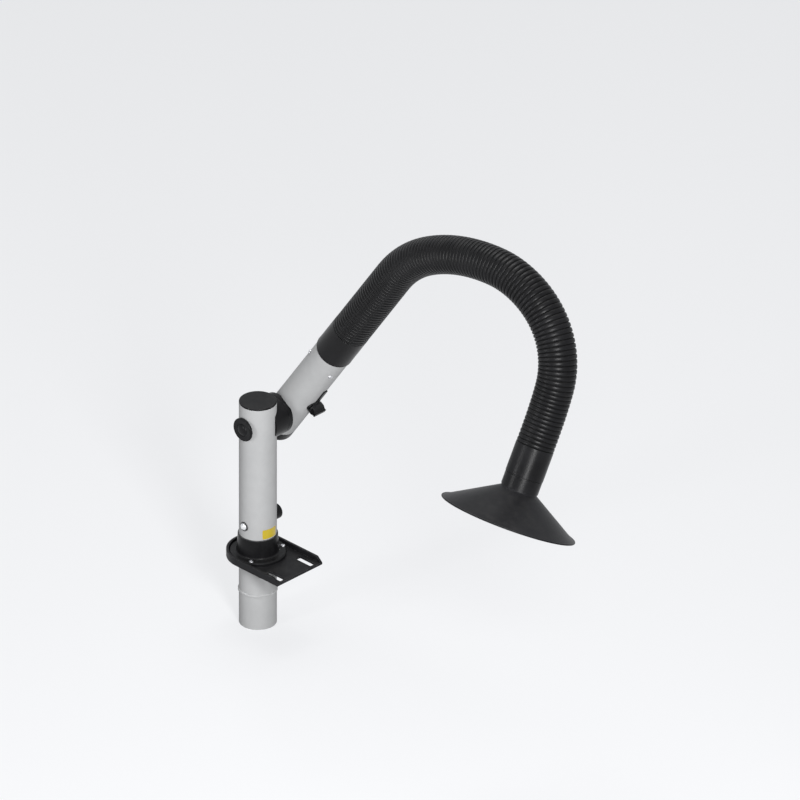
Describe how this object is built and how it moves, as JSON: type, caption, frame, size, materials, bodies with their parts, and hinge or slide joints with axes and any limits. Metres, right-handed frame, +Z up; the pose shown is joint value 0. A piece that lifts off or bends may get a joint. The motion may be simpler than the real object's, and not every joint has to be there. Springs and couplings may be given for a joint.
{
  "type": "fume extraction arm",
  "caption": "Bench fume extraction arm: swivelling post on a slotted plate, friction elbow, short aluminium arm with damper, stay-put ribbed hose and a round turning hood.",
  "frame": {"origin": "on the post's axis, in the plane of the bench top that the mounting plate rests on", "axes": "+Z up along the post, +X from the post over the bench (the plate's slots and the arm point that way), +Y along the elbow's axis from the post to the arm"},
  "size_m": [0.6533, 0.2168, 0.6938],
  "materials": {
    "plate_powder": "satin black powder coat",
    "black_plastic": "satin black moulding",
    "dark_plastic": "matt dark grey moulding",
    "hose_black": "soft sheen, ribbed",
    "hood_black": "matt black",
    "bright_steel": "zinc plated",
    "chrome": "polished",
    "gooseneck_steel": "dull",
    "anodised_aluminium": "satin anodised",
    "inner_aluminium": "plain",
    "friction_liner": "matt fibre",
    "yellow_label": "plain yellow"
  },
  "bodies": {
    "base": {"mount_plate": "plate_powder", "swivel_collar": "black_plastic", "flange_screws": "bright_steel", "swivel_bush": "dark_plastic", "lower_thrust_washer": "dark_plastic"},
    "post": {"swivel_spigot": "inner_aluminium", "outlet_tube": "anodised_aluminium", "outlet_screws": "bright_steel", "post_tube": "anodised_aluminium", "post_cap": "black_plastic", "clamp_bolt": "chrome", "clamp_washer": "black_plastic", "label_blank": "yellow_label", "post_joint_drum": "black_plastic", "friction_ring": "friction_liner", "spacer_sleeve": "bright_steel", "rod_saddle": "dark_plastic", "disc_spring": "bright_steel"},
    "clamp_knob": {"clamp_knob": "black_plastic"},
    "arm": {"friction_rod": "bright_steel", "rod_nut": "bright_steel", "arm_joint_disc": "black_plastic", "arm_tube": "anodised_aluminium", "arm_end_cap": "black_plastic", "damper_base": "black_plastic", "root_spider": "dark_plastic", "spider_screws": "bright_steel", "root_cuff_sleeve": "hose_black"},
    "friction_knob": {"friction_knob": "black_plastic"},
    "damper": {"damper_spindle": "bright_steel", "damper_blade": "inner_aluminium", "damper_blade_screws": "bright_steel", "damper_handle": "black_plastic"},
    "hose": {"ribbed_hose": "hose_black", "gooseneck": "gooseneck_steel"},
    "hose_end": {"end_cuff_sleeve": "hose_black", "end_spider": "dark_plastic", "hood_sleeve": "dark_plastic", "hood_retaining_ring": "bright_steel"},
    "hood": {"hood_collar": "hood_black", "hood_cone": "hood_black"}
  },
  "joints": [
    {"name": "post_swivel", "type": "hinge", "parent": "base", "child": "post", "pos_m": [0, 0, 0.02], "axis": [0, 0, 1], "continuous": true},
    {"name": "clamp_knob_turn", "type": "hinge", "parent": "post", "child": "clamp_knob", "pos_m": [0, 0.03, 0.0527], "axis": [0, 1, 0], "continuous": true},
    {"name": "elbow", "type": "hinge", "parent": "post", "child": "arm", "pos_m": [0, 0.0309, 0.2005], "axis": [0, 1, 0], "range_deg": [-60, 50]},
    {"name": "friction_knob_turn", "type": "hinge", "parent": "arm", "child": "friction_knob", "pos_m": [0, -0.028, 0.2005], "axis": [0, 1, 0], "continuous": true},
    {"name": "damper_turn", "type": "hinge", "parent": "arm", "child": "damper", "pos_m": [0.02352, 0.06, 0.23408], "axis": [0.8192, 0, -0.5736], "range_deg": [0, 90]},
    {"name": "hose_bend_upper", "type": "hinge", "parent": "arm", "child": "hose", "pos_m": [0.26339, 0.06, 0.53635], "axis": [0, 1, 0], "range_deg": [-25, 25], "deforming": ["ribbed_hose", "gooseneck"]},
    {"name": "hose_bend_lower", "type": "hinge", "parent": "hose", "child": "hose_end", "pos_m": [0.51105, 0.04455, 0.46561], "axis": [1, 0, 0], "range_deg": [-25, 30], "deforming": ["ribbed_hose", "gooseneck"]},
    {"name": "hood_turn", "type": "hinge", "parent": "hose_end", "child": "hood", "pos_m": [0.51283, -0.0249, 0.32469], "axis": [0, -0.4848, -0.8746], "continuous": true}
  ]
}
